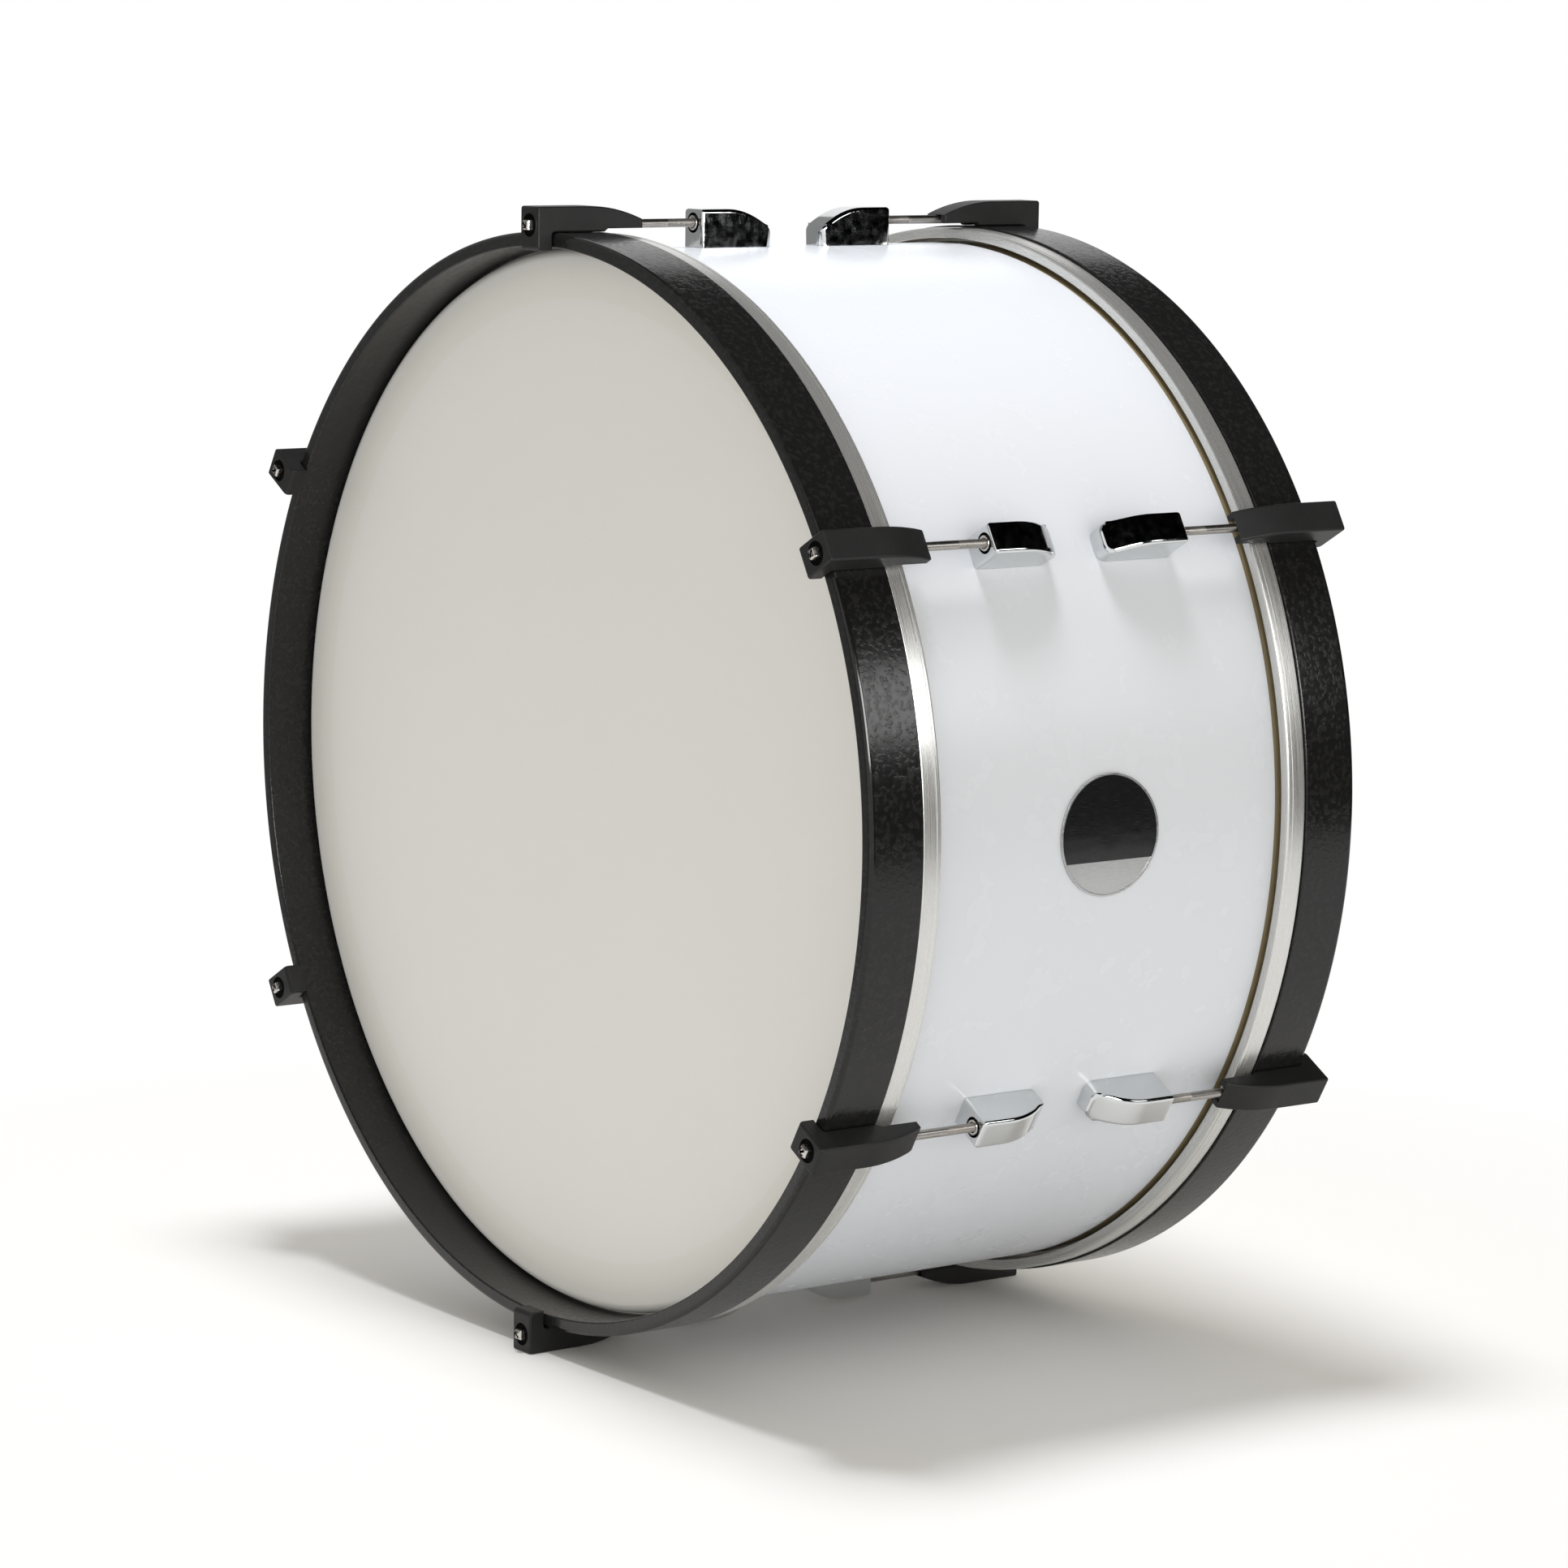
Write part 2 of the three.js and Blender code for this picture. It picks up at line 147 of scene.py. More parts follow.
world = bpy.data.worlds.new("studio")
bpy.context.scene.world = world
world.use_nodes = True
sky_seen = seen_directly(world)
sky_height = add_node(world, "ShaderNodeSeparateXYZ", Vector=own_place(world)).outputs["Z"]
below_zenith = calculate(world, "SUBTRACT", 1.0, calculate(world, "MAXIMUM", sky_height, 0.0))
low_share = calculate(world, "POWER", below_zenith, horizon_power)
sky_light = calculate(world, "MULTIPLY_ADD", low_share, horizon_gain, zenith_light)
light_on_drum = calculate(world, "MULTIPLY", sky_light, calculate(world, "SUBTRACT", 1.0, sky_seen))
feed(world, "Strength", calculate(world, "MAXIMUM", sky_seen, light_on_drum), node="Background")
feed(world, "Color", mix_colours(world, sky_seen, (1, 0.965, 0.91, 1), (1, 1, 1, 1)), node="Background")

bpy.ops.object.select_all(action="DESELECT")
bpy.ops.mesh.primitive_plane_add(size=floor_size)
floor = bpy.context.object
floor.name = "studio_floor"
floor_finish = new_finish("studio_floor", (0.9, 0.9, 0.9), 1.0, Specular_IOR_Level=0.0)
floor_seen = seen_directly(floor_finish)
feed(floor_finish, "Base Color", mix_colours(
    floor_finish, floor_seen, (0.9, 0.9, 0.9, 1), (0.84, 0.835, 0.82, 1)
))
floor_distance = add_node(
    floor_finish, "ShaderNodeVectorMath", {"operation": "LENGTH"}, _0=own_place(floor_finish)
).outputs["Value"]
far_off = spread(floor_finish, floor_distance, floor_fade_start, floor_fade_end, 0.0, 1.0)
white_out = add_node(floor_finish, "ShaderNodeEmission", Color=(1, 1, 1, 1), Strength=1.0)
floor_mix = add_node(
    floor_finish, "ShaderNodeMixShader", _0=calculate(floor_finish, "MULTIPLY", far_off, floor_seen),
    _1=floor_finish.node_tree.nodes["Principled BSDF"].outputs[0], _2=white_out.outputs[0],
)
feed(floor_finish, "Surface", floor_mix.outputs[0], node="Material Output")
floor.data.materials.append(floor_finish)

lamp_data = bpy.data.lights.new("overhead_lamp", "AREA")
lamp_data.shape = "DISK"
lamp_data.size = 0.7
lamp_data.energy = 56
lamp_data.color = (0.945, 0.955, 1.0)
lamp = bpy.data.objects.new("overhead_lamp", lamp_data)
bpy.context.collection.objects.link(lamp)
lamp.location = (0, -0.19, 2.96)
lamp.visible_glossy = False


def place_card(name, azimuth, distance, foot, width, height, brightness=0.0, lying=False):
    """Card that only mirrors see, upright and facing the drum or lying flat; azimuth runs from +X to +Y"""
    towards_card = Vector((cos(radians(azimuth)), sin(radians(azimuth)), 0))
    facing = towards_card.to_track_quat("Z", "Y").to_matrix().to_4x4()
    upright = Matrix.Translation((0, 0, height / 2)) @ facing
    turned = Matrix.Rotation(radians(azimuth), 4, "Z")
    bpy.ops.object.select_all(action="DESELECT")
    bpy.ops.mesh.primitive_plane_add(size=1)
    card = bpy.context.object
    card.name = name
    card.matrix_world = (
        Matrix.Translation(towards_card * distance + Vector((0, 0, foot)))
        @ (turned if lying else upright)
        @ Matrix.Diagonal((width, height, 1, 1))
    )
    card.visible_camera = False
    card.visible_diffuse = False
    card.visible_transmission = False
    card.visible_shadow = False
    finish = bpy.data.materials.new(name)
    finish.use_nodes = True
    finish.node_tree.nodes.remove(finish.node_tree.nodes["Principled BSDF"])
    glow = add_node(finish, "ShaderNodeEmission", Color=(1, 1, 1, 1), Strength=brightness)
    feed(finish, "Surface", glow.outputs[0], node="Material Output")
    card.data.materials.append(finish)


place_card("dark_ceiling", azimuth=0, distance=1.5, foot=4.0, width=10.4, height=10.5, lying=True)
place_card("dark_wall_right", azimuth=42, distance=2.1, foot=0.001, width=3.6, height=3.9)
place_card("dim_wall_left", azimuth=216, distance=1.3, foot=0.001, width=4.0, height=3.0, brightness=0.3)
place_card("dark_wall_back", azimuth=102, distance=2.3, foot=0.001, width=1.7, height=3.9)
place_card("side_panel", azimuth=27, distance=2.0, foot=0.75, width=0.54, height=0.48, brightness=5.4)
place_card("corner_panel", azimuth=-12, distance=2.0, foot=0.66, width=1.2, height=0.56, brightness=18.0)


# Shell
# Nine plies of poplar bent into a cylinder, glued, and cut at both ends to a bearing edge: round outside,
# chamfered inside. The wrap covers the outside but for the last 2 cm at each end.
SHELL_RADIUS = 0.3301
SHELL_WALL = 0.0070
RING_STEPS = 240
HAIR = 1e-5
shell_half_depth = 0.1524
edge_round = 0.0046
vent_hole_radius = 0.0063
vent_drill_length = 0.05
plies_to_metre = 1300.0
grain_stretch = 0.06
grain_share = 0.75


def take_up(name):
    """Names the new primitive, puts its place into its mesh and opens it for editing"""
    piece = bpy.context.object
    piece.name = piece.data.name = name
    bpy.ops.object.transform_apply(location=True, rotation=True, scale=True)
    bpy.ops.object.mode_set(mode="EDIT")
    bpy.ops.mesh.select_mode(type="VERT")
    return piece


def clear_bench():
    """Leaves edit mode with nothing selected, ready for a new primitive"""
    if bpy.context.object:
        bpy.ops.object.mode_set(mode="OBJECT")
    bpy.ops.object.select_all(action="DESELECT")


def is_at(value, wanted):
    """True where two lengths agree to a hair"""
    return abs(value - wanted) < HAIR


def pick(test, kind="verts"):
    """Selects the vertices, edges or faces of the open mesh whose middle passes the test"""
    bpy.ops.mesh.select_mode(type={"verts": "VERT", "edges": "EDGE", "faces": "FACE"}[kind])
    bpy.ops.mesh.select_all(action="DESELECT")
    mesh = bmesh.from_edit_mesh(bpy.context.object.data)
    for part in getattr(mesh, kind):
        corners = [part.co] if kind == "verts" else [v.co for v in part.verts]
        middle = sum(corners, Vector()) / len(corners)
        part.select_set(bool(test(middle, part)))
    mesh.select_flush_mode()
    bmesh.update_edit_mesh(bpy.context.object.data)


def start_section(name, inner, outer, low, high):
    """Flat rectangle between two radii and two places along the axis: the section of a ring"""
    clear_bench()
    bpy.ops.mesh.primitive_plane_add(
        size=1, location=((inner + outer) / 2, (low + high) / 2, AXIS_HEIGHT)
    )
    bpy.context.object.scale = (outer - inner, high - low, 1)
    return take_up(name)


def round_corner(radius, along, size, segments):
    """Rounds the section's corner at that radius and place along the axis"""
    pick(lambda p, _: is_at(p.x, radius) and is_at(p.y, along))
    bpy.ops.mesh.bevel(offset=size, offset_type="OFFSET", segments=segments, affect="VERTICES")


def close_skin(threshold=1e-6):
    """Merges the open mesh's doubles and turns its faces outwards"""
    bpy.ops.mesh.select_all(action="SELECT")
    bpy.ops.mesh.remove_doubles(threshold=threshold)
    bpy.ops.mesh.normals_make_consistent(inside=False)


def spin_section(steps=RING_STEPS, centre=(0, 0, AXIS_HEIGHT), axis=(0, 1, 0), angle=tau):
    """Turns the open section about the drum's axis, or another, to a closed ring or part of the way round"""
    bpy.ops.mesh.select_all(action="SELECT")
    if angle == tau:
        bpy.ops.mesh.delete(type="ONLY_FACE")
        bpy.ops.mesh.select_all(action="SELECT")
    bpy.ops.mesh.spin(steps=steps, angle=angle, center=centre, axis=axis)
    close_skin()


def apply_modifier(piece, kind, **settings):
    """Adds a modifier to the piece in hand and applies it"""
    bpy.ops.object.mode_set(mode="OBJECT")
    modifier = piece.modifiers.new(kind.lower(), kind)
    for name, value in settings.items():
        setattr(modifier, name, value)
    bpy.ops.object.modifier_apply(modifier=modifier.name)


def smooth(piece, crease=30):
    """Smooth shading up to that angle, with the large faces kept flat beside their rounded edges"""
    bpy.ops.object.mode_set(mode="OBJECT")
    bpy.ops.object.shade_smooth_by_angle(angle=radians(crease))
    apply_modifier(piece, "WEIGHTED_NORMAL", keep_sharp=True)


def close_up(piece, finish, body, slot, *nodes):
    """Smooths the finished mesh, gives it its finish and sets it in the CAD nodes' place on their body"""
    smooth(piece)
    piece.data.materials.clear()
    piece.data.materials.append(finish)
    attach(piece, body)
    if nodes:
        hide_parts(*nodes)


def cut_away(piece, cutter):
    """Subtracts the cutter from the piece and throws the cutter away"""
    clear_bench()
    bpy.context.view_layer.objects.active = piece
    piece.select_set(True)
    apply_modifier(piece, "BOOLEAN", operation="DIFFERENCE", solver="EXACT", object=cutter)
    bpy.data.objects.remove(cutter)


def drill_vent_hole(piece):
    """Hole for the air vent, half way along the side away from the badge"""
    clear_bench()
    bpy.ops.mesh.primitive_cylinder_add(
        vertices=32, radius=vent_hole_radius, depth=vent_drill_length,
        location=(-SHELL_RADIUS, 0, AXIS_HEIGHT), rotation=(0, pi / 2, 0),
    )
    drill = take_up("drill")
    cut_away(piece, drill)


def round_the_drum(finish):
    """The point's distance from the axis, arc round the shell, length along the axis and height above it"""
    place = add_node(finish, "ShaderNodeSeparateXYZ", Vector=own_place(finish)).outputs
    height = calculate(finish, "SUBTRACT", place["Z"], AXIS_HEIGHT)
    height_squared = calculate(finish, "MULTIPLY", height, height)
    squares = calculate(finish, "MULTIPLY_ADD", place["X"], place["X"], height_squared)
    radius = calculate(finish, "SQRT", squares)
    arc = calculate(finish, "MULTIPLY", calculate(finish, "ARCTAN2", height, place["X"]), SHELL_RADIUS)
    return radius, arc, place["Y"], height


def stack(finish, first, second, third):
    """Three numbers as one place"""
    return add_node(finish, "ShaderNodeCombineXYZ", X=first, Y=second, Z=third).outputs[0]


def noise(finish, scale, detail=3.0, roughness=0.55, place=None):
    """Cloudy noise from 0 to 1, with that many cells to the metre of the drum or of the place given"""
    return add_node(
        finish, "ShaderNodeTexNoise", Vector=own_place(finish) if place is None else place,
        Scale=scale, Detail=detail, Roughness=roughness,
    ).outputs["Fac"]


def vary_colour(finish, pattern, first, second):
    """Colour from the first to the second, as a pattern goes from 0 to 1"""
    feed(finish, "Base Color", mix_colours(finish, pattern, first, second))


def vary_roughness(finish, pattern, new_low, new_high, low=0.3, high=0.7):
    """Roughness from one value to another, as a pattern goes from low to high"""
    feed(finish, "Roughness", spread(finish, pattern, low, high, new_low, new_high))


def raise_surface(finish, height, depth, strength=1.0):
    """Bump of that depth in metres"""
    bump = add_node(finish, "ShaderNodeBump", Height=height, Distance=depth, Strength=strength)
    feed(finish, "Normal", bump.outputs[0])


wood = new_finish("poplar_ply", (0.24, 0.17, 0.09), 0.55)
radius, arc, along, _ = round_the_drum(wood)
ply = calculate(wood, "PINGPONG", calculate(wood, "MULTIPLY", radius, plies_to_metre), 1.0)
grain_place = stack(wood, radius, calculate(wood, "MULTIPLY", arc, grain_stretch), along)
grain = noise(wood, 900, 5, place=grain_place)
ply_shade = calculate(wood, "MULTIPLY", ply, 1 - grain_share)
shade = calculate(wood, "MULTIPLY_ADD", grain, grain_share, ply_shade)
vary_colour(wood, shade, (0.10, 0.078, 0.036, 1), (0.32, 0.255, 0.14, 1))
vary_roughness(wood, grain, 0.48, 0.66)
raise_surface(wood, grain, 0.0002)

shell_inside = SHELL_RADIUS - SHELL_WALL
shell = start_section("bent_shell", shell_inside, SHELL_RADIUS, -shell_half_depth, shell_half_depth)
for end in (-shell_half_depth, shell_half_depth):
    round_corner(SHELL_RADIUS, end, edge_round, segments=8)
    round_corner(shell_inside, end, SHELL_WALL - edge_round, segments=1)
spin_section()
drill_vent_hole(shell)
close_up(shell, wood, "shell_body", "shell_wood", "shell")


# Wrap
# Gloss white sheet, 0.6 mm thick, glued round the shell between the flesh hoops. Its ends lap over each
# other underneath, on the side away from the badge.
WRAP_RADIUS = 0.3309
wrap_end = 0.129
wrap_thickness = 0.0006
wrap_edge_round = 0.0004
lap_width = 0.024
lap_steps = 8
lap_angle = radians(-120)

gloss_white = new_finish("gloss_white_sheet", (0.66, 0.69, 0.73), 0.26, Specular_IOR_Level=0.2)
vary_colour(gloss_white, noise(gloss_white, 6, 2), (0.632, 0.656, 0.690, 1), (0.648, 0.672, 0.704, 1))
vary_roughness(gloss_white, noise(gloss_white, 35, 3), 0.24, 0.28, low=0.35, high=0.65)
raise_surface(gloss_white, noise(gloss_white, 60, 1), 0.0001, 0.15)

wrap = start_section("white_wrap", WRAP_RADIUS - wrap_thickness, WRAP_RADIUS, -wrap_end, wrap_end)
for end in (-wrap_end, wrap_end):
    round_corner(WRAP_RADIUS, end, wrap_edge_round, segments=2)
spin_section()
drill_vent_hole(wrap)
close_up(wrap, gloss_white, "shell_body", "white_wrap", "shell_wrap")


def turn_about_axis(piece, angle, front=False):
    """Carries a piece made at the rear end on the +X side round the axis, and to the front end if asked"""
    to_axis = Matrix.Translation((0, 0, AXIS_HEIGHT))
    half_turn = Matrix.Rotation(pi if front else 0.0, 4, "Z")
    piece.data.transform(to_axis @ half_turn @ Matrix.Rotation(-angle, 4, "Y") @ to_axis.inverted())
    piece.data.update()


lap = start_section("wrap_lap", WRAP_RADIUS, WRAP_RADIUS + wrap_thickness, -wrap_end, wrap_end)
spin_section(steps=lap_steps, axis=(0, -1, 0), angle=lap_width / WRAP_RADIUS)
bpy.ops.object.mode_set(mode="OBJECT")
turn_about_axis(lap, lap_angle)
close_up(lap, gloss_white, "shell_body", "white_wrap")


# Air vent
# Brass eyelet through the shell and its wrap, half way along the side away from the badge. It lets air out
# when the drum is struck, and its two flanges are rolled tight against the walls.
vent_bore = 0.005
vent_sleeve = 0.006
vent_flange_radius = 0.0095
vent_flange = 0.0011
vent_round = 0.0009

brass = new_finish("vent_brass", (0.60, 0.43, 0.19), 0.25, metallic=1.0)
vary_roughness(brass, noise(brass, 400, 3), 0.18, 0.34)
vary_colour(brass, noise(brass, 250, 4), (0.50, 0.34, 0.14, 1), (0.68, 0.50, 0.24, 1))


def draw_outline(name, corners, level=AXIS_HEIGHT):
    """Closed face at that height, drawn by extruding a vertex from one (radius, along) corner to the next"""
    clear_bench()
    places = [Vector((radius, along, level)) for radius, along in corners]
    bpy.ops.mesh.primitive_plane_add(size=0.001, location=places[0])
    piece = take_up(name)
    bpy.ops.mesh.merge(type="CENTER")
    for here, there in zip(places, places[1:]):
        bpy.ops.mesh.extrude_region_move(TRANSFORM_OT_translate={"value": there - here})
    bpy.ops.mesh.select_all(action="SELECT")
    bpy.ops.mesh.edge_face_add()
    return piece


vent_outside = -WRAP_RADIUS
vent_inside = SHELL_WALL - SHELL_RADIUS
vent = draw_outline("air_vent_eyelet", [
    (vent_outside - vent_flange, vent_bore),
    (vent_outside - vent_flange, vent_flange_radius),
    (vent_outside, vent_flange_radius),
    (vent_outside, vent_sleeve),
    (vent_inside, vent_sleeve),
    (vent_inside, vent_flange_radius),
    (vent_inside + vent_flange, vent_flange_radius),
    (vent_inside + vent_flange, vent_bore),
])
for flange_face in (vent_outside - vent_flange, vent_inside + vent_flange):
    round_corner(flange_face, vent_bore, vent_round, segments=5)
    round_corner(flange_face, vent_flange_radius, vent_round, segments=5)
spin_section(steps=64, axis=(1, 0, 0))
close_up(vent, brass, "shell_body", "vent_brass", "air_vent")


# Badge
# Thin pressed plate, bent to the shell and glued on half way along, with a raised rim. Black enamel above,
# bare brushed metal below.
badge_radius = 0.0368
badge_thickness = 0.0009
badge_rim = 0.0013
badge_rim_height = 0.0005
badge_edge_round = 0.0002
badge_bands = (0.004, 0.006, 0.007, 0.007, 0.007)
badge_start = WRAP_RADIUS + 0.01
enamel_foot = -0.0154
enamel_smoother_by = 0.12
brush_stretch = 0.05

rim_inside = badge_radius - badge_rim
badge_finish = new_finish("badge_plate", (0.02, 0.02, 0.022), 0.3, metallic=1.0)
_, arc, along, height = round_the_drum(badge_finish)
arc_squared = calculate(badge_finish, "MULTIPLY", arc, arc)
squares = calculate(badge_finish, "MULTIPLY_ADD", along, along, arc_squared)
from_middle = calculate(badge_finish, "SQRT", squares)
above_foot = calculate(badge_finish, "GREATER_THAN", height, enamel_foot)
inside_rim = calculate(badge_finish, "LESS_THAN", from_middle, rim_inside)
enamel = calculate(badge_finish, "MULTIPLY", above_foot, inside_rim)
brush_place = stack(badge_finish, 0.0, calculate(badge_finish, "MULTIPLY", along, brush_stretch), height)
brushed = noise(badge_finish, 2500, 4, place=brush_place)
metal_colour = mix_colours(badge_finish, brushed, (0.38, 0.38, 0.38, 1), (0.64, 0.64, 0.63, 1))
metal_roughness = spread(badge_finish, brushed, 0.3, 0.7, 0.22, 0.42)
vary_colour(badge_finish, enamel, metal_colour, (0.008, 0.008, 0.009, 1))
feed(badge_finish, "Metallic", calculate(badge_finish, "SUBTRACT", 1.0, enamel))
feed(badge_finish, "Roughness", calculate(
    badge_finish, "MULTIPLY_ADD", enamel, -enamel_smoother_by, metal_roughness
))

clear_bench()
bpy.ops.mesh.primitive_circle_add(
    vertices=96, radius=badge_radius, fill_type="NGON",
    location=(badge_start, 0, AXIS_HEIGHT), rotation=(0, pi / 2, 0),
)
badge = take_up("round_badge")
pick(lambda p, _: True, "faces")
for band in (badge_rim, *badge_bands):
    bpy.ops.mesh.inset(thickness=band)
apply_modifier(
    badge, "SHRINKWRAP", target=wrap, wrap_method="PROJECT", use_project_x=True,
    use_negative_direction=True, use_positive_direction=True,
)
apply_modifier(badge, "SOLIDIFY", thickness=badge_thickness, offset=1)
bpy.ops.object.mode_set(mode="EDIT")
pick(lambda p, face: face.normal.x > 0.5 and hypot(p.y, p.z - AXIS_HEIGHT) > rim_inside, "faces")
bpy.ops.mesh.extrude_region_move(TRANSFORM_OT_translate={"value": (badge_rim_height, 0, 0)})
apply_modifier(
    badge, "BEVEL", width=badge_edge_round, segments=2, limit_method="ANGLE", angle_limit=radians(50)
)
close_up(badge, badge_finish, "shell_body", "badge_plate", "badge")


# Swivel nuts
# Turned steel barrels, plated, each with the thread for one tension rod. They sit loose in the lugs, so that
# they can swing into line with their rods.
LUG_FACE = 0.073
ROD_AXIS = 0.3461313
ROD_CENTRE = (ROD_AXIS, 0, AXIS_HEIGHT)
CLOCK_HOURS = (12, 2, 4, 6, 8, 10)
nut_radius = 0.0047
nut_bore = 0.00305
nut_length = 0.020
nut_proud = 0.0008
nut_edge_round = 0.0005
nut_bore_chamfer = 0.0004

plated_steel = new_finish("plated_steel", (0.60, 0.58, 0.55), 0.24, metallic=1.0)
vary_roughness(plated_steel, noise(plated_steel, 600, 4), 0.18, 0.34)
vary_colour(plated_steel, noise(plated_steel, 120, 3), (0.50, 0.47, 0.43, 1), (0.68, 0.66, 0.63, 1))


def copy_piece(model, name):
    """Copy with its own mesh"""
    piece = model.copy()
    piece.data = model.data.copy()
    piece.name = piece.data.name = name
    bpy.context.collection.objects.link(piece)
    return piece


def set_out(model, finishes, kind, rides_on="shell_body", crease=30, which=None):
    """Copies a piece made at the rear end on the +X side to all twelve stations, and takes the model away;
    which gives the number of a face's finish from the face's middle"""
    smooth(model, crease)
    model.data.materials.clear()
    for finish in finishes:
        model.data.materials.append(finish)
    if which:
        for face in model.data.polygons:
            face.material_index = which(face.center)
    for end in ("front", "rear"):
        for hour in CLOCK_HOURS:
            node = f"{end}_{kind}_{hour}"
            body = rides_on.format(end=end, hour=hour)
            piece = copy_piece(model, f"fine_{node}")
            turn_about_axis(piece, pi / 2 + hour / 12 * tau, front=end == "front")
            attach(piece, body)
            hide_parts(node)
    bpy.data.objects.remove(model)


nut_face = LUG_FACE + nut_proud
nut = start_section("nut_model", ROD_AXIS + nut_bore, ROD_AXIS + nut_radius, nut_face - nut_length, nut_face)
round_corner(ROD_AXIS + nut_radius, nut_face, nut_edge_round, segments=3)
round_corner(ROD_AXIS + nut_bore, nut_face, nut_bore_chamfer, segments=1)
spin_section(steps=40, centre=ROD_CENTRE)
set_out(nut, [plated_steel], "nut")


# Lugs
# Die-cast zinc wedges, polished and chromed, screwed to the shell from inside. The high face holds the
# swivel nut, and the back slopes down to a low rounded end.
SLOPE_STEPS = 8
CUT_PAST = 0.001
lug_base = 0.330946
lug_length = 0.0545
lug_height = 0.023785
lug_width = 0.020
lug_flat = 0.021
lug_low_height = 0.0104
lug_end_round = 0.006
lug_edge_round = 0.0024
lug_foot_band = 0.001
pocket_radius = 0.0051
pocket_depth = 0.027
pocket_flare = 0.0013

chrome = new_finish("lug_chrome", (0.68, 0.695, 0.70), 0.06, metallic=1.0)
vary_roughness(chrome, noise(chrome, 180, 5), 0.04, 0.13, low=0.35)
raise_surface(chrome, noise(chrome, 120, 2), 0.00015, 0.35)


def thicken_outline(width):
    """Extrudes the open outline to a solid of that width"""
    bpy.ops.mesh.select_mode(type="FACE")
    bpy.ops.mesh.select_all(action="SELECT")
    bpy.ops.mesh.extrude_region_move(TRANSFORM_OT_translate={"value": (0, 0, width)})
    bpy.ops.mesh.select_all(action="SELECT")
    bpy.ops.mesh.normals_make_consistent(inside=False)


def is_sharp(edge, degrees=25):
    """True where two faces meet at more than that angle"""
    return len(edge.link_faces) == 2 and edge.calc_face_angle() > radians(degrees)


lug_end = LUG_FACE - lug_length
lug_slope = [
    (lug_base + lug_height - (lug_height - lug_low_height) * (step / SLOPE_STEPS) ** 2,
     LUG_FACE - lug_flat - (lug_length - lug_flat) * step / SLOPE_STEPS)
    for step in range(SLOPE_STEPS + 1)
]
lug = draw_outline("lug_model", [
    (lug_base, LUG_FACE),
    (lug_base + lug_height, LUG_FACE),
    *lug_slope,
    (lug_base, lug_end),
], level=AXIS_HEIGHT - lug_width / 2)
thicken_outline(lug_width)
pick(lambda p, edge: is_at(p.y, lug_end) and is_at(abs(p.z - AXIS_HEIGHT), lug_width / 2), "edges")
bpy.ops.mesh.bevel(offset=lug_end_round, segments=6, affect="EDGES")
pick(lambda p, edge: is_sharp(edge) and p.x > lug_base + lug_foot_band, "edges")
bpy.ops.mesh.bevel(offset=lug_edge_round, segments=4, affect="EDGES")

pocket_mouth = LUG_FACE + CUT_PAST
pocket = start_section("pocket", ROD_AXIS, ROD_AXIS + pocket_radius, LUG_FACE - pocket_depth, pocket_mouth)
pick(lambda p, _: is_at(p.x, ROD_AXIS + pocket_radius) and is_at(p.y, pocket_mouth))
bpy.ops.transform.translate(value=(pocket_flare, 0, 0))
spin_section(steps=40, centre=ROD_CENTRE)
cut_away(lug, pocket)
set_out(lug, [chrome], "lug", crease=35)


# Heads
# Polyester film with a sprayed coating, turned down over the bearing edge and locked in its flesh hoop. A
# slightly darker ring round the coating near the edge is painted shade: the counter hoop's shadow.
FLESH_TOP = 0.1447
film_face = 0.1530
film_thickness = 0.0003
film_turn = 0.0052
film_lip = FLESH_TOP - film_thickness
film_foot = FLESH_TOP - 0.0070
film_edge = 0.3371
collar_top_radius = 0.3308
collar_foot_radius = 0.3319
# Painted shade: the counter hoop's shadow on the film, painted as a darker ring between these radii
shade_ring_inner = 0.3005
shade_ring_outer = 0.3215
shade_ring_blur = 0.0010

film_finish = new_finish("coated_film", (0.66, 0.63, 0.57), 0.6)
film_radius = round_the_drum(film_finish)[0]
coat_colour = mix_colours(
    film_finish, noise(film_finish, 5, 3), (0.600, 0.596, 0.572, 1), (0.620, 0.616, 0.593, 1)
)
past_inner = spread(film_finish, film_radius, shade_ring_inner - shade_ring_blur, shade_ring_inner + shade_ring_blur, 0.0, 1.0)
short_of_outer = spread(film_finish, film_radius, shade_ring_outer - shade_ring_blur, shade_ring_outer + shade_ring_blur, 1.0, 0.0)
painted_hoop_shade = calculate(film_finish, "MULTIPLY", past_inner, short_of_outer)
# The ring's darker, slightly yellower colour is painted shade of the counter hoop, not a mark on the coating
vary_colour(film_finish, painted_hoop_shade, coat_colour, (0.595, 0.591, 0.552, 1))
coating = noise(film_finish, 1600, 3)
vary_roughness(film_finish, coating, 0.52, 0.7)
raise_surface(film_finish, coating, 0.00012, 0.5)


def set_both_ends(model, finish, kind):
    """Uses the rear ring as it is and a copy of it in front, each on its own head set"""
    smooth(model)
    model.data.materials.clear()
    model.data.materials.append(finish)
    model.name = model.data.name = f"fine_rear_{kind}"
    other = copy_piece(model, f"fine_front_{kind}")
    turn_about_axis(other, 0.0, front=True)
    for end, piece in (("rear", model), ("front", other)):
        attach(piece, f"{end}_head_set")
        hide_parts(f"{end}_{kind}")


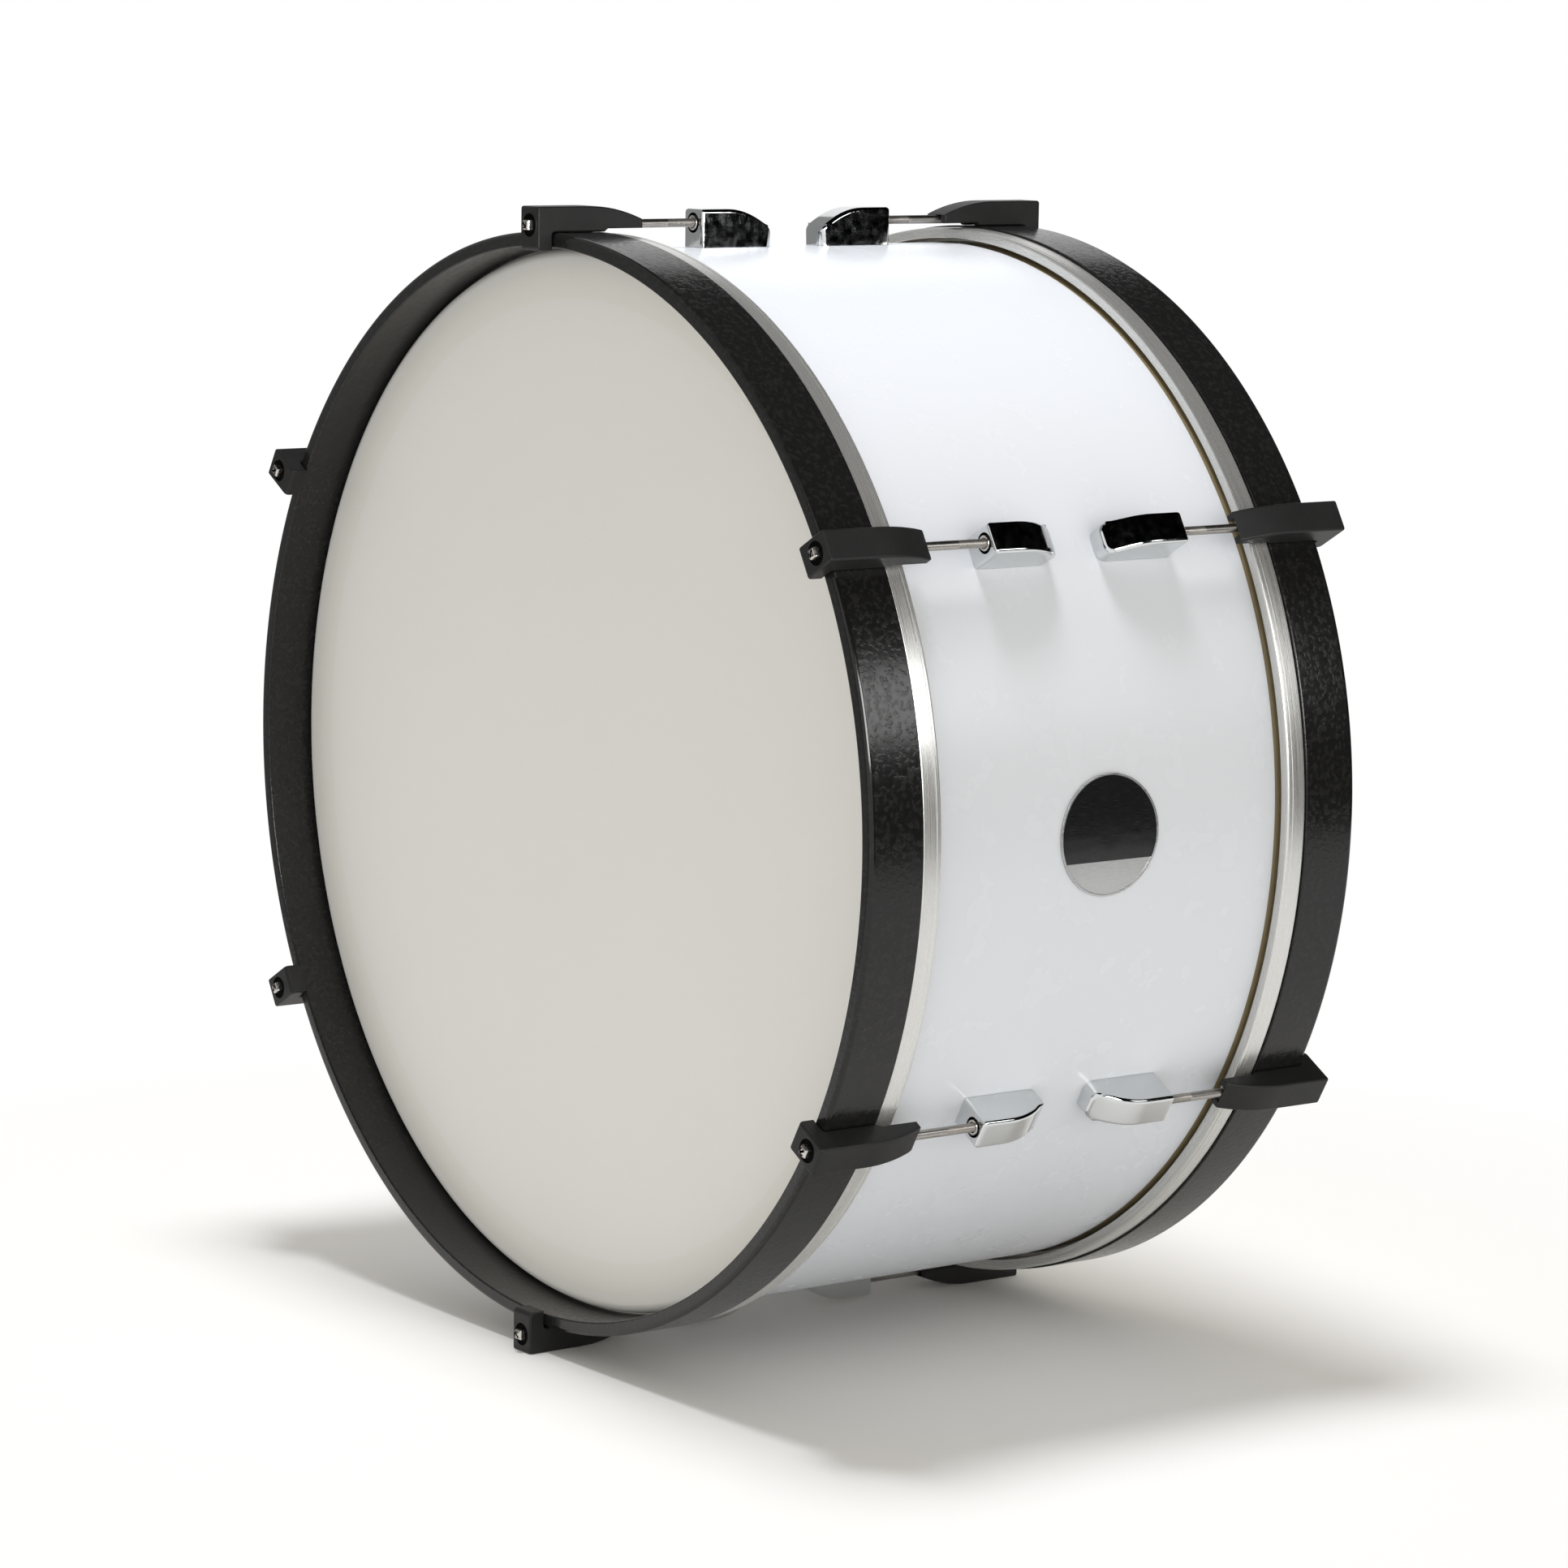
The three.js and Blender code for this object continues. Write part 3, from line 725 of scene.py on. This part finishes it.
film_under = film_face - film_thickness
film = draw_outline("film", [
    (0, film_face),
    (collar_top_radius, film_face),
    (collar_foot_radius, film_lip),
    (film_edge, film_lip),
    (film_edge, film_foot),
    (film_edge - film_thickness, film_foot),
    (film_edge - film_thickness, film_lip - film_thickness),
    (collar_foot_radius - film_thickness, film_lip - film_thickness),
    (collar_top_radius - film_thickness, film_under),
    (0, film_under),
])
round_corner(collar_top_radius, film_face, film_turn, segments=10)
round_corner(collar_top_radius - film_thickness, film_under, film_turn - film_thickness, segments=10)
bpy.ops.mesh.select_all(action="SELECT")
bpy.ops.mesh.delete(type="ONLY_FACE")
pick(lambda p, edge: is_at(p.x, 0), "edges")
bpy.ops.mesh.delete(type="EDGE")
spin_section()
set_both_ends(film, film_finish, "head_film")


# Flesh hoops
# Extruded aluminium channel, rolled into a ring and welded, its open side up and filled by the film's edge.
# A fine groove runs round the outside near the foot.
flesh_outer = 0.3404
flesh_inner = 0.3335
flesh_bottom = 0.1310
flesh_floor = 0.1374
flesh_wall = 0.0012
flesh_inner_top = FLESH_TOP - 0.0021
flesh_foot_round = 0.0016
flesh_top_round = 0.0011
flesh_inner_round = 0.0008
groove_foot = 0.1342
groove_width = 0.0010
groove_side = 0.0003
groove_depth = 0.0003
drawn_stretch = 0.004

aluminium = new_finish("flesh_aluminium", (0.66, 0.66, 0.64), 0.28, metallic=0.75)
radius, arc, along, _ = round_the_drum(aluminium)
drawn_place = stack(aluminium, radius, calculate(aluminium, "MULTIPLY", arc, drawn_stretch), along)
drawn_lines = noise(aluminium, 3000, 4, place=drawn_place)
vary_colour(aluminium, drawn_lines, (0.54, 0.54, 0.52, 1), (0.76, 0.76, 0.74, 1))
vary_roughness(aluminium, drawn_lines, 0.20, 0.36)
raise_surface(aluminium, drawn_lines, 0.00005, 0.5)

flesh_hoop = draw_outline("flesh_hoop", [
    (flesh_inner, flesh_bottom),
    (flesh_outer, flesh_bottom),
    (flesh_outer, groove_foot),
    (flesh_outer - groove_depth, groove_foot + groove_side),
    (flesh_outer - groove_depth, groove_foot + groove_width - groove_side),
    (flesh_outer, groove_foot + groove_width),
    (flesh_outer, FLESH_TOP),
    (flesh_outer - flesh_wall, FLESH_TOP),
    (flesh_outer - flesh_wall, flesh_floor),
    (flesh_inner + flesh_wall, flesh_floor),
    (flesh_inner + flesh_wall, flesh_inner_top),
    (flesh_inner, flesh_inner_top),
])
round_corner(flesh_outer, flesh_bottom, flesh_foot_round, segments=5)
round_corner(flesh_outer, FLESH_TOP, flesh_top_round, segments=4)
round_corner(flesh_inner, flesh_bottom, flesh_inner_round, segments=3)
spin_section()
set_both_ends(flesh_hoop, aluminium, "flesh_hoop")


# Counter hoops
# Maple plies bent into a ring, 9 mm thick, with the front edge rounded over and a sprayed black lacquer that
# shows the grain of the wood as fine specks on the flats.
HOOP_BACK = 0.1450
HOOP_FRONT = 0.1831
hoop_outer = 0.3417
hoop_inner = 0.3327
hoop_front_round = 0.003
hoop_front_inner_round = 0.0012
hoop_back_round = 0.0008
hoop_back_inner_round = 0.0006
hoop_steps = 288
corner_blend = 0.0005
corner_roughness = 0.10

hoop_black = new_finish("hoop_lacquer", (0.008, 0.008, 0.008), 0.14, Specular_IOR_Level=0.34)
specks = noise(hoop_black, 300, 3, 0.5)
pores = spread(hoop_black, specks, 0.50, 0.62, 0.0, 1.0)
vary_colour(hoop_black, pores, (0.009, 0.009, 0.009, 1), (0.014, 0.014, 0.013, 1))
radius, _, along, _ = round_the_drum(hoop_black)
depth = calculate(hoop_black, "ABSOLUTE", along)
round_start = hoop_outer - hoop_front_round
outside = spread(hoop_black, radius, round_start - corner_blend, round_start, 0.0, 1.0)
face_start = HOOP_FRONT - hoop_front_round
face_side = spread(hoop_black, depth, face_start - corner_blend, face_start, 0.0, 1.0)
off_corner = calculate(hoop_black, "SUBTRACT", 1.0, calculate(hoop_black, "MULTIPLY", outside, face_side))
flat_roughness = spread(hoop_black, specks, 0.3, 0.7, 0.04, 0.16)
feed(hoop_black, "Roughness", calculate(
    hoop_black, "MULTIPLY_ADD", flat_roughness, off_corner, corner_roughness
))
raise_surface(hoop_black, calculate(hoop_black, "MULTIPLY", pores, off_corner), 0.00008, 0.5)

counter_hoop = start_section("counter_hoop", hoop_inner, hoop_outer, HOOP_BACK, HOOP_FRONT)
round_corner(hoop_outer, HOOP_FRONT, hoop_front_round, segments=8)
round_corner(hoop_inner, HOOP_FRONT, hoop_front_inner_round, segments=4)
round_corner(hoop_outer, HOOP_BACK, hoop_back_round, segments=3)
round_corner(hoop_inner, HOOP_BACK, hoop_back_inner_round, segments=2)
spin_section(steps=hoop_steps)
set_both_ends(counter_hoop, hoop_black, "counter_hoop")


# Claws
# Die-cast zinc hooks, powder-coated satin black. Each reaches over the hoop's front edge with a lip, carries
# the rod's head in a round recess, and is hollow below from that wall to its tail.
ROD_SEAT = 0.1891
claw_foot = 0.3415313
claw_gap = 0.0003
claw_front = 0.1943
claw_tail = 0.1170
claw_width = 0.0196
claw_height = 0.016
claw_tail_height = 0.0086
claw_tail_cut = 0.002
claw_tail_drop = 0.001
claw_tail_lift = 0.0022
claw_step = 0.0025
claw_flat_end = 0.156
claw_lip_reach = 0.0108
claw_inner_ease = 0.0015
claw_top_round = 0.0016
claw_lip_round = 0.003
claw_edge_round = 0.0013
claw_rod_clearance = 0.00305
hollow_width = 0.0110
hollow_roof = 0.003
hollow_slope_end = 0.004
recess_radius = 0.0067
recess_depth = 0.0055
recess_flare = 0.0005
recess_rim = 0.0002
recess_wall_slack = 0.0003
recess_floor_slack = 0.0001
rod_hole_start = HOOP_FRONT - 0.003
rod_hole_end = claw_front - 0.002

claw_black = new_finish("claw_powder_coat", (0.012, 0.012, 0.012), 0.5, Specular_IOR_Level=0.26)
vary_colour(claw_black, noise(claw_black, 60, 4), (0.009, 0.009, 0.009, 1), (0.017, 0.017, 0.017, 1))
pebble = noise(claw_black, 1500, 2)
vary_roughness(claw_black, pebble, 0.40, 0.52)
raise_surface(claw_black, pebble, 0.0002, 0.5)

# Painted shade: the recess's wall and floor are near black and barely glossy, for the shade inside the recess
recess_painted_shade = new_finish("recess_painted_shade", (0.002, 0.002, 0.002), 0.7, Specular_IOR_Level=0.02)
vary_roughness(recess_painted_shade, noise(recess_painted_shade, 900), 0.6, 0.8)

claw_start = HOOP_FRONT + claw_gap
claw_over_hoop = claw_foot + claw_gap
claw_lip = claw_foot - claw_lip_reach
claw_top = claw_foot + claw_height
claw_tail_top = claw_foot + claw_tail_height
slope_start = claw_tail + claw_tail_cut
claw_slope = [
    (claw_tail_top + (claw_height - claw_tail_height) * (1 - (1 - step / SLOPE_STEPS) ** 2),
     slope_start + (claw_flat_end - slope_start) * step / SLOPE_STEPS)
    for step in range(SLOPE_STEPS + 1)
]
claw = draw_outline("claw_model", [
    (claw_lip, claw_start),
    (claw_over_hoop, claw_start),
    (claw_over_hoop, HOOP_BACK),
    (claw_foot + claw_tail_lift, HOOP_BACK - claw_step),
    (claw_foot + claw_tail_lift, claw_tail),
    (claw_tail_top - claw_tail_drop, claw_tail),
    *claw_slope,
    (claw_top, claw_front),
    (claw_lip, claw_front),
], level=AXIS_HEIGHT - claw_width / 2)
round_corner(claw_over_hoop, claw_start, claw_inner_ease, segments=2)
round_corner(claw_top, claw_front, claw_top_round, segments=4)
round_corner(claw_lip, claw_front, claw_lip_round, segments=5)
thicken_outline(claw_width)
pick(lambda p, edge: is_sharp(edge, 60) and is_at(abs(p.z - AXIS_HEIGHT), claw_width / 2), "edges")
bpy.ops.mesh.bevel(offset=claw_edge_round, segments=4, affect="EDGES")

over_rod = ROD_AXIS + claw_rod_clearance
hollow_end = HOOP_FRONT - claw_inner_ease
hollow = draw_outline("hollow", [
    (claw_foot - CUT_PAST, hollow_end),
    (claw_top - hollow_roof, hollow_end),
    (claw_top - hollow_roof, claw_flat_end),
    (over_rod, claw_tail + hollow_slope_end),
    (over_rod, claw_tail - CUT_PAST),
    (claw_foot - CUT_PAST, claw_tail - CUT_PAST),
], level=AXIS_HEIGHT - hollow_width / 2)
thicken_outline(hollow_width)
cut_away(claw, hollow)


def bore(name, radius, low, high, flare):
    """Cutter along the rod's axis whose outer millimetre opens into a chamfer"""
    cutter = start_section(name, ROD_AXIS, ROD_AXIS + radius, low, high)
    bpy.ops.mesh.select_all(action="SELECT")
    bpy.ops.mesh.bisect(plane_co=(0, high - CUT_PAST - flare, 0), plane_no=(0, 1, 0))
    pick(lambda p, _: is_at(p.x, ROD_AXIS + radius) and is_at(p.y, high))
    bpy.ops.transform.translate(value=(flare + CUT_PAST, 0, 0))
    spin_section(steps=40, centre=ROD_CENTRE)
    return cutter


recess_floor = claw_front - recess_depth
cut_away(claw, bore("rod_hole", claw_rod_clearance, rod_hole_start, rod_hole_end, 0))
cut_away(claw, bore("recess", recess_radius, recess_floor, claw_front + CUT_PAST, recess_flare))


def in_recess(middle):
    """1 for the wall and the floor of the recess, which take the painted shade"""
    off_axis = hypot(middle.x - ROD_AXIS, middle.z - AXIS_HEIGHT)
    at_depth = recess_floor - recess_floor_slack < middle.y < claw_front - recess_rim
    return int(off_axis < recess_radius + recess_wall_slack and at_depth)


set_out(
    claw, [claw_black, recess_painted_shade], "claw", rides_on="{end}_head_set", crease=32,
    which=in_recess,
)


# Tension rods
# Dull steel, with a plated square head for a drum key on a darkened round flange, a plain shank, and a thread
# rolled at the tip, which runs in the swivel nut.
rod_radius = 0.00275
rod_tip = 0.0555
rod_overlap = 0.0005
rod_neck_round = 0.0005
flange_radius = 0.005
flange_thickness = 0.0018
flange_top_round = 0.0008
flange_foot_round = 0.0003
key_width = 0.0063
key_height = 0.0070
key_sunk = 0.0003
key_side_round = 0.0005
key_top_round = 0.0019
thread_pitch = 0.001058
thread_end = 0.0935
thread_depth = 0.00055
thread_flank = 0.44
thread_crest = 0.12
thread_steps = 16

blackened_steel = new_finish("blackened_steel", (0.030, 0.028, 0.025), 0.35, metallic=0.6)
oil = noise(blackened_steel, 700, 3)
vary_roughness(blackened_steel, oil, 0.28, 0.45)
vary_colour(blackened_steel, oil, (0.020, 0.019, 0.017, 1), (0.045, 0.042, 0.038, 1))

dull_steel = new_finish("dull_steel", (0.38, 0.36, 0.34), 0.32, metallic=1.0)
dullness = noise(dull_steel, 450, 4)
vary_roughness(dull_steel, dullness, 0.27, 0.38)
vary_colour(dull_steel, dullness, (0.30, 0.280, 0.255, 1), (0.45, 0.43, 0.405, 1))

clear_bench()
bpy.ops.mesh.primitive_plane_add(size=0.001, location=ROD_CENTRE)
thread = bpy.context.object
bpy.ops.object.mode_set(mode="EDIT")
bpy.ops.mesh.select_mode(type="VERT")
bpy.ops.mesh.merge(type="CENTER")
bpy.ops.transform.translate(value=(rod_radius - thread_depth, rod_tip - thread_pitch, 0))
for outwards, onwards in ((thread_depth, thread_flank), (0, thread_crest), (-thread_depth, thread_flank)):
    bpy.ops.mesh.extrude_region_move(TRANSFORM_OT_translate={"value": (outwards, thread_pitch * onwards, 0)})
apply_modifier(
    thread, "SCREW", axis="Y", angle=tau, screw_offset=thread_pitch,
    iterations=round((thread_end - rod_tip) / thread_pitch) + 2,
    steps=thread_steps, render_steps=thread_steps, use_merge_vertices=False,
)
take_up("thread")
close_skin(threshold=2e-6)
for cut_place, outward in ((rod_tip, -1), (thread_end, 1)):
    bpy.ops.mesh.select_all(action="SELECT")
    bpy.ops.mesh.bisect(plane_co=(0, cut_place, 0), plane_no=(0, outward, 0), use_fill=True, clear_outer=True)

neck = thread_end - rod_overlap
shank = start_section("shank", ROD_AXIS, ROD_AXIS + rod_radius, neck, ROD_SEAT + rod_overlap)
round_corner(ROD_AXIS + rod_radius, neck, rod_neck_round, segments=2)
spin_section(steps=32, centre=ROD_CENTRE)

flange_edge = ROD_AXIS + flange_radius
flange_top = ROD_SEAT + flange_thickness
flange = start_section("flange", ROD_AXIS, flange_edge, ROD_SEAT, flange_top)
round_corner(flange_edge, flange_top, flange_top_round, segments=3)
round_corner(flange_edge, ROD_SEAT, flange_foot_round, segments=1)
spin_section(steps=40, centre=ROD_CENTRE)

key_foot = flange_top - key_sunk
key_top = flange_top + key_height
key_middle = (key_foot + key_top) / 2
clear_bench()
bpy.ops.mesh.primitive_cube_add(size=1, location=(ROD_AXIS, key_middle, AXIS_HEIGHT))
bpy.context.object.scale = (key_width, key_top - key_foot, key_width)
key_head = take_up("key_head")
pick(lambda p, edge: is_at(p.y, key_middle), "edges")
bpy.ops.mesh.bevel(offset=key_side_round, segments=2, affect="EDGES")
pick(lambda p, face: is_at(p.y, key_top), "faces")
bpy.ops.mesh.bevel(offset=key_top_round, segments=6, affect="EDGES")

clear_bench()
for part in (thread, shank, flange, key_head):
    part.select_set(True)
bpy.context.view_layer.objects.active = thread
bpy.ops.object.join()
rod = bpy.context.object


def rod_part(middle):
    """0 for the head, 1 for the flange, 2 for the shank and its thread"""
    if ROD_SEAT - HAIR < middle.y < flange_top + HAIR:
        return 1
    return 2 if middle.y < ROD_SEAT else 0


set_out(
    rod, [plated_steel, blackened_steel, dull_steel], "rod", rides_on="{end}_screw_{hour}",
    crease=40, which=rod_part,
)
